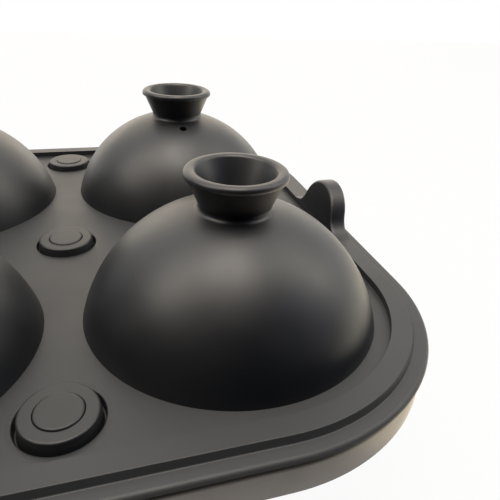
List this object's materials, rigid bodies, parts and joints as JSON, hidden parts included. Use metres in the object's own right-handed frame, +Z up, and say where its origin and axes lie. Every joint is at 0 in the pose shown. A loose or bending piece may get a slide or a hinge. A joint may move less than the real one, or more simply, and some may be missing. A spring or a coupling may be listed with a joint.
{
  "type": "silicone ice ball mold",
  "caption": "Two-part silicone mold for round ice: a lid of domes with filling funnels, vents and a pull tab closes over a tray of cups with locating pegs.",
  "frame": {"origin": "middle of the tray's footprint, on the surface that its feet stand on", "axes": "+X to the right, towards the pull tab; +Y to the back; +Z up, the way the lid lifts off"},
  "size_m": [0.1172, 0.1172, 0.055],
  "materials": {
    "lid_silicone": "matte black silicone with a soft sheen",
    "tray_silicone": "matte black silicone with a soft sheen"
  },
  "bodies": {
    "tray": {"tray_deck": "tray_silicone", "tray_band": "tray_silicone", "sealing_rib": "tray_silicone", "cup_front_left": "tray_silicone", "cup_front_right": "tray_silicone", "cup_back_left": "tray_silicone", "cup_back_right": "tray_silicone", "peg_centre": "tray_silicone", "peg_front": "tray_silicone", "peg_back": "tray_silicone", "peg_left": "tray_silicone", "peg_right": "tray_silicone"},
    "lid": {"lid_deck": "lid_silicone", "lid_rim": "lid_silicone", "dome_front_left": "lid_silicone", "dome_front_right": "lid_silicone", "dome_back_left": "lid_silicone", "dome_back_right": "lid_silicone", "funnel_front_left": "lid_silicone", "funnel_front_right": "lid_silicone", "funnel_back_left": "lid_silicone", "funnel_back_right": "lid_silicone", "pull_tab": "lid_silicone"}
  },
  "joints": [
    {"name": "lid_lift", "type": "slide", "parent": "tray", "child": "lid", "axis": [0, 0, 1], "range_m": [0, 0.06]}
  ]
}
